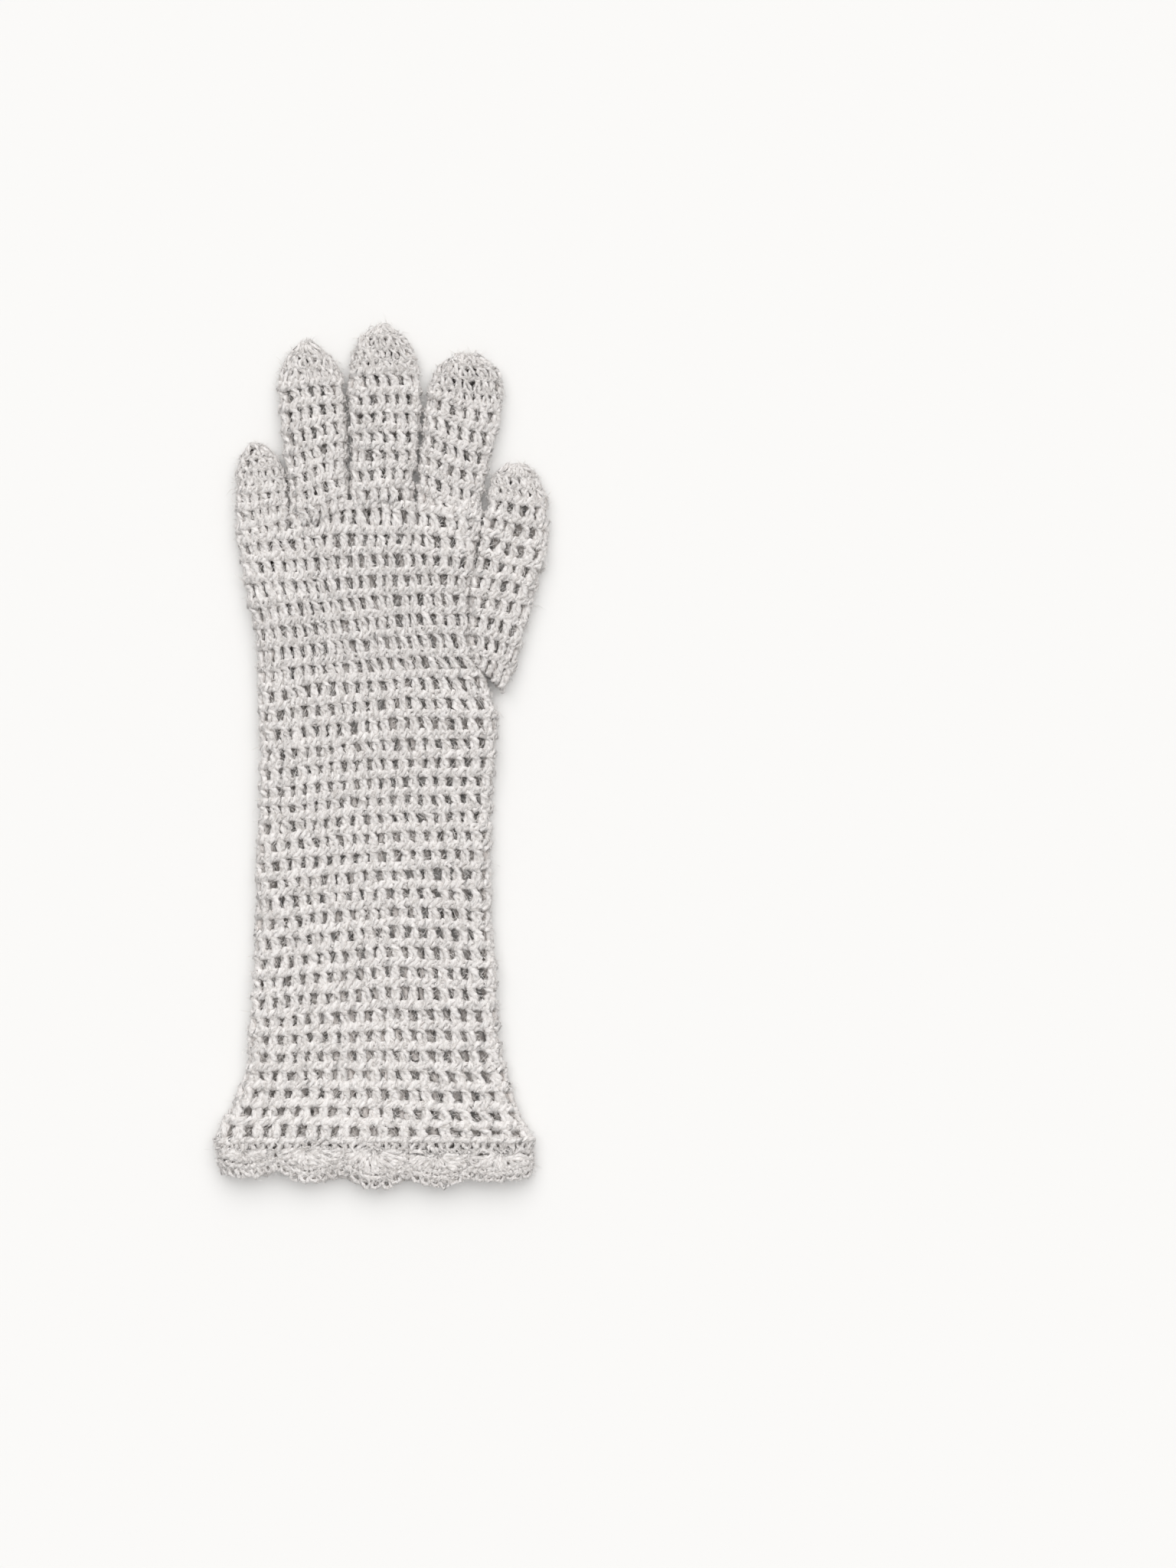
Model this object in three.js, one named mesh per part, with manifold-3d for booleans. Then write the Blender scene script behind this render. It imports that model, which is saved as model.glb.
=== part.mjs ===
// A long crocheted wool glove for the left hand, lying flat on a table with its fingers towards +Y and its thumb
// towards +X. Millimetres, +Z up. The origin is the middle of the glove's outline, on the table.
// Each piece is a flattened tube of crochet fabric: hollow, flat underneath, a little domed on top.
// The sleeve and the palm are one tube. The thumb and the four fingers are tubes of their own, closed at the tip,
// that go on from it. A close round and a shell edging end the cuff.
import * as THREE from "three";
import { mergeVertices } from "three/addons/utils/BufferGeometryUtils.js";
import Module from "manifold-3d";

const wasm = await Module();
wasm.setup();

// Fabric and lie of the glove
const WALL = 2.0; // thickness of one layer of crochet
const SEAM_GAP = 0.3; // between two pieces that are worked onto each other
const SIDE_GAP = 0.5; // between two fingers that lie side by side
const SLEEVE_HEIGHT = 10.4; // both layers and the air between them
const FINGER_HEIGHT = 10;
const FOLD_LEVEL = 0.45; // height of the folded edge, as a share of the height
const FOLD_REACH = 8; // how far in from its edge the top layer goes on rising
const CROWN = 0.5; // extra rise of the top layer towards the middle

// Points around a section: on each quarter of a folded edge, across the top and across the underside
const SLEEVE_STEPS = { quarter: 3, top: 5, under: 3 };
const FINGER_STEPS = { quarter: 3, top: 2, under: 1 };
const EDGING_STEPS = { quarter: 3, top: 30, under: 30 };

// Sleeve and palm, from the cuff to beyond the finger roots: y, and x of the folded edge on each side
const SLEEVE_ROWS = [
  { y: -149.1, left: -65.5, right: 59.5 },
  { y: -144.5, left: -64, right: 58 },
  { y: -137, left: -60, right: 54 },
  { y: -128, left: -56.3, right: 51.5 },
  { y: -120, left: -54, right: 49 },
  { y: -101, left: -52.7, right: 46 },
  { y: -80, left: -51.3, right: 45 },
  { y: -60, left: -50, right: 43 },
  { y: -35, left: -49.5, right: 42.7 },
  { y: -10, left: -49, right: 43.6 },
  { y: 12, left: -48.6, right: 45.2 },
  { y: 22, left: -48.8, right: 45.8 },
  { y: 30, left: -48.8, right: 42 },
  { y: 38, left: -48.6, right: 35.1 },
  { y: 46, left: -49, right: 33.4 },
  { y: 57, left: -49.7, right: 33.1 },
  { y: 66, left: -52, right: 33.9 },
  { y: 74, left: -54.7, right: 35.2 },
  { y: 82, left: -56.2, right: 36.8 },
  { y: 102, left: -57.2, right: 40.6 },
];

// Where the four fingers start: the two outer edges and the three crotches between them
const ROOTS = [
  [-56.2, 78.4],
  [-35.3, 87.2],
  [-12.8, 98],
  [12.5, 99.2],
  [38, 89],
];

// Each finger, from above its root to its tip: the folded edge on each side, and the height there
const LITTLE_ROWS = [
  { left: [-56.9, 88], right: [-36.2, 95.5] },
  { left: [-57.2, 98.5], right: [-36.8, 103] },
  { left: [-56.9, 107.5], right: [-38, 110.5] },
  { left: [-56.3, 114.5], right: [-39.2, 115.4], height: 9 },
  { left: [-54.5, 119.3], right: [-41.9, 119.3], height: 7.5 },
  { left: [-51.8, 122.6], right: [-45.1, 122.6], height: 5 },
];
const RING_ROWS = [
  { left: [-36.2, 96.2], right: [-12.8, 105.2] },
  { left: [-38, 116.5], right: [-13, 121] },
  { left: [-39.5, 128.5], right: [-13.4, 131] },
  { left: [-40.3, 140.5], right: [-14.2, 141.2] },
  { left: [-39.8, 149], right: [-15.8, 150], height: 9.5 },
  { left: [-38.5, 154.6], right: [-18.4, 155.3], height: 8.5 },
  { left: [-35.8, 159.4], right: [-22.4, 159.4], height: 7 },
  { left: [-31.6, 163], right: [-28.2, 163], height: 4.5 },
];
const MIDDLE_ROWS = [
  { left: [-12.8, 109], right: [13, 108.2] },
  { left: [-12.8, 120], right: [14.5, 119] },
  { left: [-13, 131.5], right: [15.5, 130.5] },
  { left: [-13, 144], right: [15.5, 144] },
  { left: [-12.5, 152], right: [14.5, 152], height: 9.5 },
  { left: [-11.3, 158.6], right: [12.5, 158.6], height: 9 },
  { left: [-9.2, 164], right: [9.2, 164], height: 7.5 },
  { left: [-5.9, 167.9], right: [5.9, 167.9], height: 6 },
  { left: [-2, 169.7], right: [2.6, 169.7], height: 4 },
];
const INDEX_ROWS = [
  { left: [13.4, 108.2], right: [40, 100] },
  { left: [14.9, 118], right: [41.8, 112] },
  { left: [16, 129.2], right: [44.5, 125] },
  { left: [17, 140.5], right: [47, 137.5] },
  { left: [18.8, 147.5], right: [47.2, 145.5], height: 9.5 },
  { left: [21.2, 151.6], right: [45.8, 150], height: 9 },
  { left: [24.2, 155], right: [42.8, 154.2], height: 7 },
  { left: [29, 157.8], right: [38, 157.6], height: 4.5 },
];
const THUMB_ROWS = [
  { left: [34, 46], right: [53.9, 38.5] },
  { left: [33.7, 55], right: [56.6, 48.5] },
  { left: [34.5, 65.6], right: [59.3, 59.6] },
  { left: [36, 75], right: [62.3, 70] },
  { left: [37.8, 84], right: [64.8, 80] },
  { left: [39.8, 92.8], right: [65.5, 90] },
  { left: [41.5, 101], right: [65, 98.8] },
  { left: [43, 107], right: [63.3, 105.4], height: 9 },
  { left: [45.4, 111.2], right: [60.4, 110.8], height: 7.5 },
  { left: [50.6, 114.4], right: [55.6, 114.4], height: 4.5 },
];

// The thumb hole: the slanted line on the palm's edge where the thumb is worked on
const THUMB_ROOT = { left: [35.3, 38], right: [48.2, 24.2] };
const THUMB_STUB = 6; // the palm's own short tube behind that line
const THROUGH = 3; // how far a hollow is cut past an open end

// Cuff
const CLOSE_ROUND_ROWS = [
  { y: -149.4, left: -65.5, right: 59.5 },
  { y: -153.6, left: -65.5, right: 59.5 },
];
const EDGING_TOP = { y: -153.9, left: -65.3, right: 59.5 };
const EDGING_END = { left: -61.5, right: 57.2 };
const CUFF_HEIGHT = 10;
const EDGING_BANDS = 3;

// How far the edging reaches below its top, from the left fold to the right one and the same on both layers:
// at the notch on each shell's left, and at its middle. The last row is the right fold.
const SHELLS = [
  { notch: 7.6, depth: 9.9 },
  { notch: 7.2, depth: 13.4 },
  { notch: 10.6, depth: 15.8 },
  { notch: 11.6, depth: 14.7 },
  { notch: 10.8, depth: 12.8 },
  { notch: 9.4 },
];

// One flattened tube section in its own plane, as points [across, up] from the left fold over the top and back
// underneath. inset takes it in by the wall, for the hollow.
function sectionPoints(halfWidth, height, steps, inset) {
  const half = halfWidth - inset;
  const low = inset;
  const high = height - inset;
  const fold = low + (high - low) * FOLD_LEVEL;
  const reach = Math.min(FOLD_REACH - inset, half * 0.9);
  const flat = half - reach;
  const points = [];
  const quarter = (side, from, to) => {
    for (let i = 0; i < steps.quarter; i++) {
      const angle = THREE.MathUtils.lerp(from, to, i / steps.quarter);
      const rise = angle > 0 && angle < Math.PI ? high - fold : fold - low;
      points.push([side * flat + reach * Math.cos(angle), fold + rise * Math.sin(angle)]);
    }
  };
  quarter(-1, Math.PI, Math.PI / 2);
  for (let i = 0; i < steps.top; i++) {
    const across = -1 + (2 * i) / steps.top;
    points.push([across * flat, high + CROWN * (1 - across * across)]);
  }
  quarter(1, Math.PI / 2, 0);
  quarter(1, 0, -Math.PI / 2);
  for (let i = 0; i < steps.under; i++) points.push([flat * (1 - (2 * i) / steps.under), low]);
  quarter(-1, -Math.PI / 2, -Math.PI);
  return points;
}

// A section as a ring of points in space, across the line from row.left to row.right
function ringAt(row, steps, inset) {
  const left = new THREE.Vector3(...row.left, 0);
  const right = new THREE.Vector3(...row.right, 0);
  const middle = left.clone().add(right).divideScalar(2);
  const across = right.clone().sub(left);
  const halfWidth = across.length() / 2;
  across.normalize();
  return sectionPoints(halfWidth, row.height, steps, inset).map(([x, z]) =>
    middle.clone().addScaledVector(across, x).setZ(z + (row.lift ?? 0)),
  );
}

// A row moved square to its own line, forwards if distance is positive
function shifted(row, distance) {
  const across = new THREE.Vector2(row.right[0] - row.left[0], row.right[1] - row.left[1]).normalize();
  const move = ([x, y]) => [x - across.y * distance, y + across.x * distance];
  return { ...row, left: move(row.left), right: move(row.right) };
}

// A row with both folds taken in along its own line
function narrowed(row, distance) {
  const across = new THREE.Vector2(row.right[0] - row.left[0], row.right[1] - row.left[1]).normalize();
  const move = ([x, y], by) => [x + across.x * by, y + across.y * by];
  return { ...row, left: move(row.left, distance), right: move(row.right, -distance) };
}

function manifoldOf(points, triangles) {
  const vertProperties = new Float32Array(points.flatMap((p) => [p.x, p.y, p.z]));
  return new wasm.Manifold(new wasm.Mesh({ numProp: 3, vertProperties, triVerts: new Uint32Array(triangles) }));
}

// The closed solid through a list of rings that all have the same number of points
function loft(rings) {
  const count = rings[0].length;
  const points = rings.flat();
  const triangles = [];
  for (let r = 0; r + 1 < rings.length; r++) {
    for (let i = 0; i < count; i++) {
      const a = r * count + i;
      const b = r * count + ((i + 1) % count);
      triangles.push(a, b, a + count, b, b + count, a + count);
    }
  }
  for (const [ring, forwards] of [[0, false], [rings.length - 1, true]]) {
    const centre = rings[ring].reduce((sum, p) => sum.add(p), new THREE.Vector3()).divideScalar(count);
    const hub = points.push(centre) - 1;
    for (let i = 0; i < count; i++) {
      const a = ring * count + i;
      const b = ring * count + ((i + 1) % count);
      triangles.push(...(forwards ? [hub, a, b] : [hub, b, a]));
    }
  }
  return manifoldOf(points, triangles);
}

// The outer form through all rows, and the hollow through those that are wide and high enough to have one
const outerForm = (rows, steps) => loft(rows.map((row) => ringAt(row, steps, 0)));

function hollowForm(rows, steps) {
  const width = (row) => Math.hypot(row.right[0] - row.left[0], row.right[1] - row.left[1]);
  const roomy = rows.filter((row) => width(row) > 4 * WALL && row.height > 3 * WALL);
  return loft([shifted(roomy[0], -THROUGH), ...roomy].map((row) => ringAt(row, steps, WALL)));
}

// An upright prism over an outline in the plan
function prism(outline, bottom, top) {
  const shape = new THREE.Shape(outline.map(([x, y]) => new THREE.Vector2(x, y)));
  const geometry = new THREE.ExtrudeGeometry(shape, { depth: top - bottom, bevelEnabled: false });
  geometry.deleteAttribute("normal");
  geometry.deleteAttribute("uv");
  const merged = mergeVertices(geometry.translate(0, 0, bottom));
  const triVerts = new Uint32Array(merged.index.array);
  const vertProperties = merged.attributes.position.array;
  return new wasm.Manifold(new wasm.Mesh({ numProp: 3, vertProperties, triVerts }));
}

// Rows given by y become rows given by their two folds
const levelRows = (rows, height) =>
  rows.map(({ y, left, right }) => ({ left: [left, y], right: [right, y], height }));

// A tip lifts a little from the table as it gets lower, so that it closes at mid-height
const withHeights = (rows) =>
  rows.map((row) => {
    const height = row.height ?? FINGER_HEIGHT;
    return { ...row, height, lift: (FINGER_HEIGHT - height) * FOLD_LEVEL };
  });

// The tube of the sleeve and palm, open at the cuff, at the four finger roots and at the thumb hole
function sleeveAndPalm() {
  const rows = levelRows(SLEEVE_ROWS, SLEEVE_HEIGHT);
  const palmSide = { ...THUMB_ROOT, height: FINGER_HEIGHT };
  const stub = [shifted(palmSide, -THUMB_STUB), shifted(palmSide, -SEAM_GAP / 2)];
  const stubHollow = [shifted(palmSide, -2 * THUMB_STUB), shifted(palmSide, THROUGH)];
  const beyond = 30;
  const cut = ROOTS.map(([x, y]) => [x, y - SEAM_GAP / 2]);
  const [first, last] = [cut[0], cut[cut.length - 1]];
  const aboveRoots = prism(
    [[first[0] - beyond, first[1] - beyond / 3], ...cut, [last[0] + beyond, last[1] - beyond / 3],
      [last[0] + beyond, last[1] + beyond], [first[0] - beyond, last[1] + beyond]],
    -beyond,
    beyond,
  );
  return outerForm(rows, SLEEVE_STEPS)
    .add(outerForm(stub, FINGER_STEPS))
    .subtract(hollowForm(rows, SLEEVE_STEPS))
    .subtract(loft(stubHollow.map((row) => ringAt(row, FINGER_STEPS, WALL))))
    .subtract(aboveRoots);
}

// A finger or thumb: a tube from its root line to its closed tip
function fingerTube(root, rows) {
  const base = shifted({ ...root, height: FINGER_HEIGHT }, SEAM_GAP / 2);
  const all = withHeights([base, ...rows]).map((row) => narrowed(row, SIDE_GAP / 2));
  return outerForm(all, FINGER_STEPS).subtract(hollowForm(all, FINGER_STEPS));
}

// The close round between the open mesh and the shells
function closeRound() {
  const rows = levelRows(CLOSE_ROUND_ROWS, CUFF_HEIGHT);
  const last = rows[rows.length - 1];
  const hollow = [shifted(last, -THROUGH), shifted(rows[0], THROUGH)];
  return outerForm([last, rows[0]], SLEEVE_STEPS).subtract(
    loft(hollow.map((row) => ringAt(row, SLEEVE_STEPS, WALL))),
  );
}

// Depth of the shell edging at a share of the way around it, out along the top layer and back along the other
function shellDepth(share) {
  const along = Math.min(share, 1 - share) * 2 * (SHELLS.length - 1);
  const shell = Math.min(Math.floor(along), SHELLS.length - 2);
  const within = along - shell;
  const { notch } = SHELLS[within < 0.5 ? shell : shell + 1];
  return THREE.MathUtils.lerp(notch, SHELLS[shell].depth, Math.sin(Math.PI * within));
}

// How far along its own outline each point of a ring lies, from 0 to 1
function sharesAround(ring) {
  const steps = ring.map((p, i) => p.distanceTo(ring[(i + 1) % ring.length]));
  const whole = steps.reduce((sum, step) => sum + step, 0);
  let gone = 0;
  return steps.map((step) => {
    const share = gone / whole;
    gone += step;
    return share;
  });
}

// The shell edging: a short tube whose free edge runs in scallops
function shellEdging() {
  const wall = (inset) => {
    const bands = [];
    for (let band = 0; band <= EDGING_BANDS; band++) {
      const share = band / EDGING_BANDS;
      const row = {
        left: [THREE.MathUtils.lerp(EDGING_TOP.left, EDGING_END.left, share ** 2), EDGING_TOP.y],
        right: [THREE.MathUtils.lerp(EDGING_TOP.right, EDGING_END.right, share ** 2), EDGING_TOP.y],
        height: CUFF_HEIGHT,
      };
      const ring = ringAt(row, EDGING_STEPS, inset);
      const around = sharesAround(ring);
      ring.forEach((p, i) => p.setY(p.y - share * shellDepth(around[i])));
      bands.push(ring);
    }
    return bands;
  };
  const outside = wall(0);
  const inside = wall(WALL).reverse();
  const count = outside[0].length;
  const loop = [...outside, ...inside];
  const triangles = [];
  for (let r = 0; r < loop.length; r++) {
    const next = (r + 1) % loop.length;
    for (let i = 0; i < count; i++) {
      const j = (i + 1) % count;
      const [a, b, c, d] = [r * count + i, r * count + j, next * count + i, next * count + j];
      triangles.push(a, c, b, b, c, d);
    }
  }
  return manifoldOf(loop.flat(), triangles);
}

// Light warm grey wool, matt
const wool = new THREE.MeshStandardMaterial({ color: 0xcbc7c3, roughness: 0.95, metalness: 0 });

function meshOf(name, solid) {
  const { vertProperties, triVerts } = solid.getMesh();
  const geometry = new THREE.BufferGeometry()
    .setAttribute("position", new THREE.BufferAttribute(new Float32Array(vertProperties), 3))
    .setIndex(new THREE.BufferAttribute(new Uint32Array(triVerts), 1));
  geometry.computeVertexNormals();
  const mesh = new THREE.Mesh(geometry, wool.clone());
  mesh.name = name;
  return mesh;
}

const rootOf = (finger) => ({ left: ROOTS[finger], right: ROOTS[finger + 1] });

const glove = new THREE.Group();
glove.add(
  meshOf("sleeve_and_palm", sleeveAndPalm()),
  meshOf("close_round", closeRound()),
  meshOf("shell_edging", shellEdging()),
  meshOf("little_finger", fingerTube(rootOf(0), LITTLE_ROWS)),
  meshOf("ring_finger", fingerTube(rootOf(1), RING_ROWS)),
  meshOf("middle_finger", fingerTube(rootOf(2), MIDDLE_ROWS)),
  meshOf("index_finger", fingerTube(rootOf(3), INDEX_ROWS)),
  meshOf("thumb", fingerTube(THUMB_ROOT, THUMB_ROWS)),
);

export default glove;
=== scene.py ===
# A long crocheted wool glove lying flat on a pale floor, made stitch by stitch.
# Fabric is laid out in millimetres on the flattened tubes of the glove, then turned into meshes in metres.
import math

import bpy
import numpy as np
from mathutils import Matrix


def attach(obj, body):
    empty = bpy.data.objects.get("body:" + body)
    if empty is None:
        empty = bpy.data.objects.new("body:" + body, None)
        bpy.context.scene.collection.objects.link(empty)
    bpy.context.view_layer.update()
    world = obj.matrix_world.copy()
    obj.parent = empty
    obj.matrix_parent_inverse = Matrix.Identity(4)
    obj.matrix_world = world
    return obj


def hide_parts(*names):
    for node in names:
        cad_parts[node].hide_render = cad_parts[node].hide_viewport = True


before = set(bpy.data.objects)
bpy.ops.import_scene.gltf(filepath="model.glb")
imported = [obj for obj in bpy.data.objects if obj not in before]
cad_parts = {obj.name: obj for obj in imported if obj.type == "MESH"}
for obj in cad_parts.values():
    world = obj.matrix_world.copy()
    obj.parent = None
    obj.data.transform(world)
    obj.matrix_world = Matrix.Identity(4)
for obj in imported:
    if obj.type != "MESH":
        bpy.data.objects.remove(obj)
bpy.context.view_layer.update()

MM = 0.001
rng = np.random.default_rng(7)

# The fabric, in millimetres
YARN = 0.98  # radius of one strand
SKIN = 1.45  # from the outside of a tube to the middle of its fabric
FOLD_LEVEL = 0.45  # height of a folded edge, as a share of the tube's height
FOLD_REACH = 8.0  # how far in from its edge the top layer goes on rising
SAG_AT = [-150, -130, 50, 96]  # y
SAG = [1.4, 3.9, 3.9, 1.5]  # how far the top layer sinks there between its folds
SAG_HALF = 40.0  # where half the tube's width is less than this, it sinks that much less
SLEEVE_HEIGHT = 10.4
FINGER_HEIGHT = 10.0
CUFF_HEIGHT = 10.0
SIDE_GAP = 0.1  # between two fingers that lie side by side
FLOOR_GAP = 0.03  # yarn that rests on the floor is pressed flat this far above it
LEAST_ROOM = 1.2  # between the two layers, and for half a tube's width

# Sleeve and palm: y, and x of the folded edge on each side
SLEEVE_ROWS = [
    (-149.1, -65.3, 59.5), (-144.5, -63.5, 58.0), (-137.0, -59.3, 54.0), (-128.0, -55.4, 51.5),
    (-120.0, -53.1, 49.0), (-101.0, -51.8, 46.0), (-80.0, -50.4, 45.0), (-60.0, -49.1, 43.0),
    (-35.0, -48.6, 42.7), (-10.0, -48.1, 43.6), (12.0, -47.8, 45.2), (24.0, -48.0, 44.8),
    (34.0, -48.1, 41.0), (46.0, -48.5, 36.2), (57.0, -49.5, 34.2), (66.0, -51.9, 34.2),
    (74.0, -53.6, 35.2), (82.0, -55.0, 36.8), (102.0, -56.2, 40.6),
]

# Where the four fingers start: the two outer edges and the three crotches between them
ROOTS = [(-56.2, 78.4), (-35.3, 87.2), (-12.8, 98.0), (12.5, 99.2), (38.0, 89.0)]
ROOT_TOP = 99.0  # y where the palm's highest row of stitches ends
THUMB_ROOT = [(35.3, 38.0), (48.2, 24.2)]

# Each finger from its root to its tip: left x and y, right x and y, height
LITTLE_ROWS = [
    (-56.9, 88.0, -36.2, 95.5, 10.0), (-57.2, 98.5, -36.8, 103.0, 10.0), (-56.9, 107.5, -38.0, 110.5, 10.0),
    (-56.3, 114.5, -39.2, 115.4, 9.0), (-54.5, 118.7, -41.9, 118.7, 7.5), (-51.8, 121.4, -45.1, 121.4, 5.0),
]
RING_ROWS = [
    (-36.2, 96.2, -12.8, 105.2, 10.0), (-38.0, 115.5, -13.0, 121.7, 10.0), (-39.5, 127.5, -13.4, 132.0, 10.0),
    (-40.3, 139.8, -14.2, 141.9, 10.0), (-39.8, 149.0, -15.8, 150.0, 9.5), (-38.5, 154.0, -18.4, 154.7, 8.5),
    (-35.8, 158.2, -22.4, 158.2, 7.0), (-31.6, 161.2, -28.2, 161.2, 4.5),
]
MIDDLE_ROWS = [
    (-12.8, 109.0, 13.0, 108.2, 10.0), (-12.8, 120.0, 14.5, 119.0, 10.0), (-13.0, 131.5, 15.5, 130.5, 10.0),
    (-13.0, 144.0, 15.5, 144.0, 10.0), (-12.5, 152.0, 14.5, 152.0, 9.5), (-11.3, 158.6, 12.5, 158.6, 9.0),
    (-9.2, 163.2, 9.2, 163.2, 7.5), (-5.9, 166.4, 5.9, 166.4, 6.0), (-2.0, 167.9, 2.6, 167.9, 4.0),
]
INDEX_ROWS = [
    (13.4, 108.2, 40.0, 100.0, 10.0), (14.9, 119.0, 41.8, 111.2, 10.0), (16.0, 130.6, 44.5, 123.8, 10.0),
    (17.0, 141.3, 47.0, 136.7, 10.0), (18.8, 147.5, 47.2, 145.5, 9.5), (21.2, 151.6, 45.8, 150.0, 9.0),
    (24.2, 154.0, 42.8, 153.2, 7.0), (29.0, 156.3, 38.0, 156.1, 4.5),
]
THUMB_ROWS = [
    (34.0, 46.0, 53.9, 38.5, 10.0), (33.7, 55.0, 56.6, 48.5, 10.0), (34.5, 65.6, 59.3, 59.6, 10.0),
    (36.0, 75.0, 62.3, 70.0, 10.0), (37.8, 84.0, 64.8, 80.0, 10.0), (39.8, 92.8, 65.5, 90.0, 10.0),
    (41.3, 101.0, 65.0, 98.8, 10.0), (42.2, 107.0, 63.5, 105.4, 9.0), (43.9, 110.8, 60.9, 110.4, 7.5),
    (48.4, 113.6, 57.0, 113.4, 4.5),
]

# The close round and the shells: y, left x, right x
CUFF_ROWS = [
    (-149.4, -65.5, 59.5), (-153.9, -65.3, 59.5), (-160.0, -64.2, 59.2), (-165.5, -62.8, 58.4),
    (-169.9, -61.5, 57.2),
]
CLOSE_ROUND_END = -153.7  # y

# The shells from the left fold to the right one: how deep they end, and how deep the notches are beside them
SHELL_DEPTHS = [9.9, 13.4, 15.8, 14.7, 12.8]
NOTCHES = [7.6, 7.2, 10.6, 11.6, 10.8, 9.4]


def unit(vectors):
    return vectors / np.maximum(np.linalg.norm(vectors, axis=-1, keepdims=True), 1e-9)


def gone_along(points):
    """Distance gone along a line of points."""
    steps = np.linalg.norm(np.diff(points, axis=0), axis=1)
    return np.concatenate([[0], np.cumsum(steps)])


def smooth_rows(gone, table, wanted):
    """A smooth curve through the rows of a table, read at the wanted distances."""
    slope = np.gradient(table, gone, axis=0)
    at = np.clip(np.searchsorted(gone, wanted, side="right") - 1, 0, len(gone) - 2)
    step = (gone[at + 1] - gone[at])[:, None]
    t = (wanted - gone[at])[:, None] / step
    return (
        table[at] * (2 * t**3 - 3 * t**2 + 1)
        + slope[at] * step * (t**3 - 2 * t**2 + t)
        + table[at + 1] * (3 * t**2 - 2 * t**3)
        + slope[at + 1] * step * (t**3 - t**2)
    )


def read_grid(grid, u, v, eased=False):
    """Reads a grid that closes on itself around a tube, at shares around and along."""
    along, around = grid.shape[:2]
    fu = (u % 1.0) * around
    fv = np.clip(v, 0, 1) * (along - 1.001)  # stays below the last row
    iu, iv = np.floor(fu).astype(int), np.floor(fv).astype(int)
    wu, wv = (fu - iu)[..., None], (fv - iv)[..., None]
    if eased:
        wu, wv = wu * wu * (3 - 2 * wu), wv * wv * (3 - 2 * wv)
    iu, nu = iu % around, (iu + 1) % around
    low = grid[iv, iu] * (1 - wu) + grid[iv, nu] * wu
    high = grid[iv + 1, iu] * (1 - wu) + grid[iv + 1, nu] * wu
    return low * (1 - wv) + high * wv


# How far stitches stray around, along and out of the fabric: from one to the next, and in long waves
BUMP_SIZE = np.array([0.45, 0.36, 0.26])
BUMP_SPACING = 6.0
WAVE_SIZE = np.array([0.0, 0.9, 0.35])
WAVE_SPACING = 42.0


class Tube:
    """A flattened tube of fabric, from rows of left x and y, right x and y, height and lift."""

    AROUND = 200  # points of a section
    STEP = 1.5  # from one section to the next

    def __init__(self, table, drift=None, settle=None):
        self.drift = drift
        self.settle = settle
        gone = gone_along((table[:, 0:2] + table[:, 2:4]) / 2)
        self.length = gone[-1]
        rows = smooth_rows(gone, table, np.linspace(0, self.length, int(self.length / self.STEP) + 2))
        self.points = np.array([self.section(row) for row in rows])
        turn = np.roll(self.points, -1, axis=1) - np.roll(self.points, 1, axis=1)
        self.normals = unit(np.cross(turn, np.gradient(self.points, axis=0)))
        if (self.normals * (self.points - self.points.mean(axis=1, keepdims=True))).sum() < 0:
            self.normals = -self.normals
        self.girth = np.linalg.norm(self.points - np.roll(self.points, 1, axis=1), axis=2).sum(axis=1)
        self.bumps = self.noise(BUMP_SPACING)
        self.waves = self.noise(WAVE_SPACING)

    def noise(self, spacing):
        """A grid of random steps around and along the tube."""
        around = max(int(self.girth.mean() / spacing), 3)
        along = max(int(self.length / spacing), 2)
        return rng.normal(size=(along + 2, around, 3))

    def section(self, row):
        """One loop of the fabric's middle, evenly spaced, from the left fold over the top and back below."""
        left, right = np.append(row[0:2], 0), np.append(row[2:4], 0)
        height, lift = row[4:6]
        half = max(np.linalg.norm(right - left) / 2 - SKIN, LEAST_ROOM)
        sag = np.interp((left[1] + right[1]) / 2, SAG_AT, SAG) * min(half / SAG_HALF, 1)
        low, high = SKIN, max(height - SKIN, SKIN + LEAST_ROOM)
        fold = low + (high - low) * FOLD_LEVEL
        reach = min(FOLD_REACH - SKIN, half * 0.9)
        quarter = np.linspace(0, math.pi / 2, 16)
        rise, fall = np.sin(quarter), np.cos(quarter)
        span = np.linspace(-1, 1, 60)[1:-1]
        flat = half - reach
        x = np.concatenate([
            -flat - reach * fall, flat * span, flat + reach * rise,
            (flat + reach * fall)[1:], -flat * span, (-flat - reach * rise)[:-1],
        ])
        z = np.concatenate([
            fold + (high - fold) * rise, high - sag * (1 - span**2), fold + (high - fold) * fall,
            (fold - (fold - low) * rise)[1:], np.full(span.shape, low), (fold - (fold - low) * fall)[:-1],
        ])
        loop = (left + right) / 2 + x[:, None] * unit(right - left)
        loop[:, 2] = z + lift
        closed = np.vstack([loop, loop[:1]])
        gone = gone_along(closed)
        even = np.linspace(0, gone[-1], self.AROUND, endpoint=False)
        return np.column_stack([np.interp(even, gone, closed[:, k]) for k in range(3)])

    def girth_at(self, v):
        return np.interp(v, np.linspace(0, 1, len(self.girth)), self.girth)

    def place(self, u, v, out):
        """Points and outward normals at shares around and along, out millimetres off the fabric's middle."""
        if self.drift is not None:
            u = u + np.interp(v, np.linspace(0, 1, len(self.drift)), self.drift)
        uneven = read_grid(self.bumps, u, v, eased=True) * BUMP_SIZE
        uneven = uneven + read_grid(self.waves, u, v, eased=True) * WAVE_SIZE
        u = u + uneven[..., 0] / self.girth_at(v)
        v = v + uneven[..., 1] / self.length
        normals = unit(read_grid(self.normals, u, v))
        points = read_grid(self.points, u, v) + normals * (out + uneven[..., 2])[..., None]
        return (self.settle(points) if self.settle else points), normals


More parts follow.
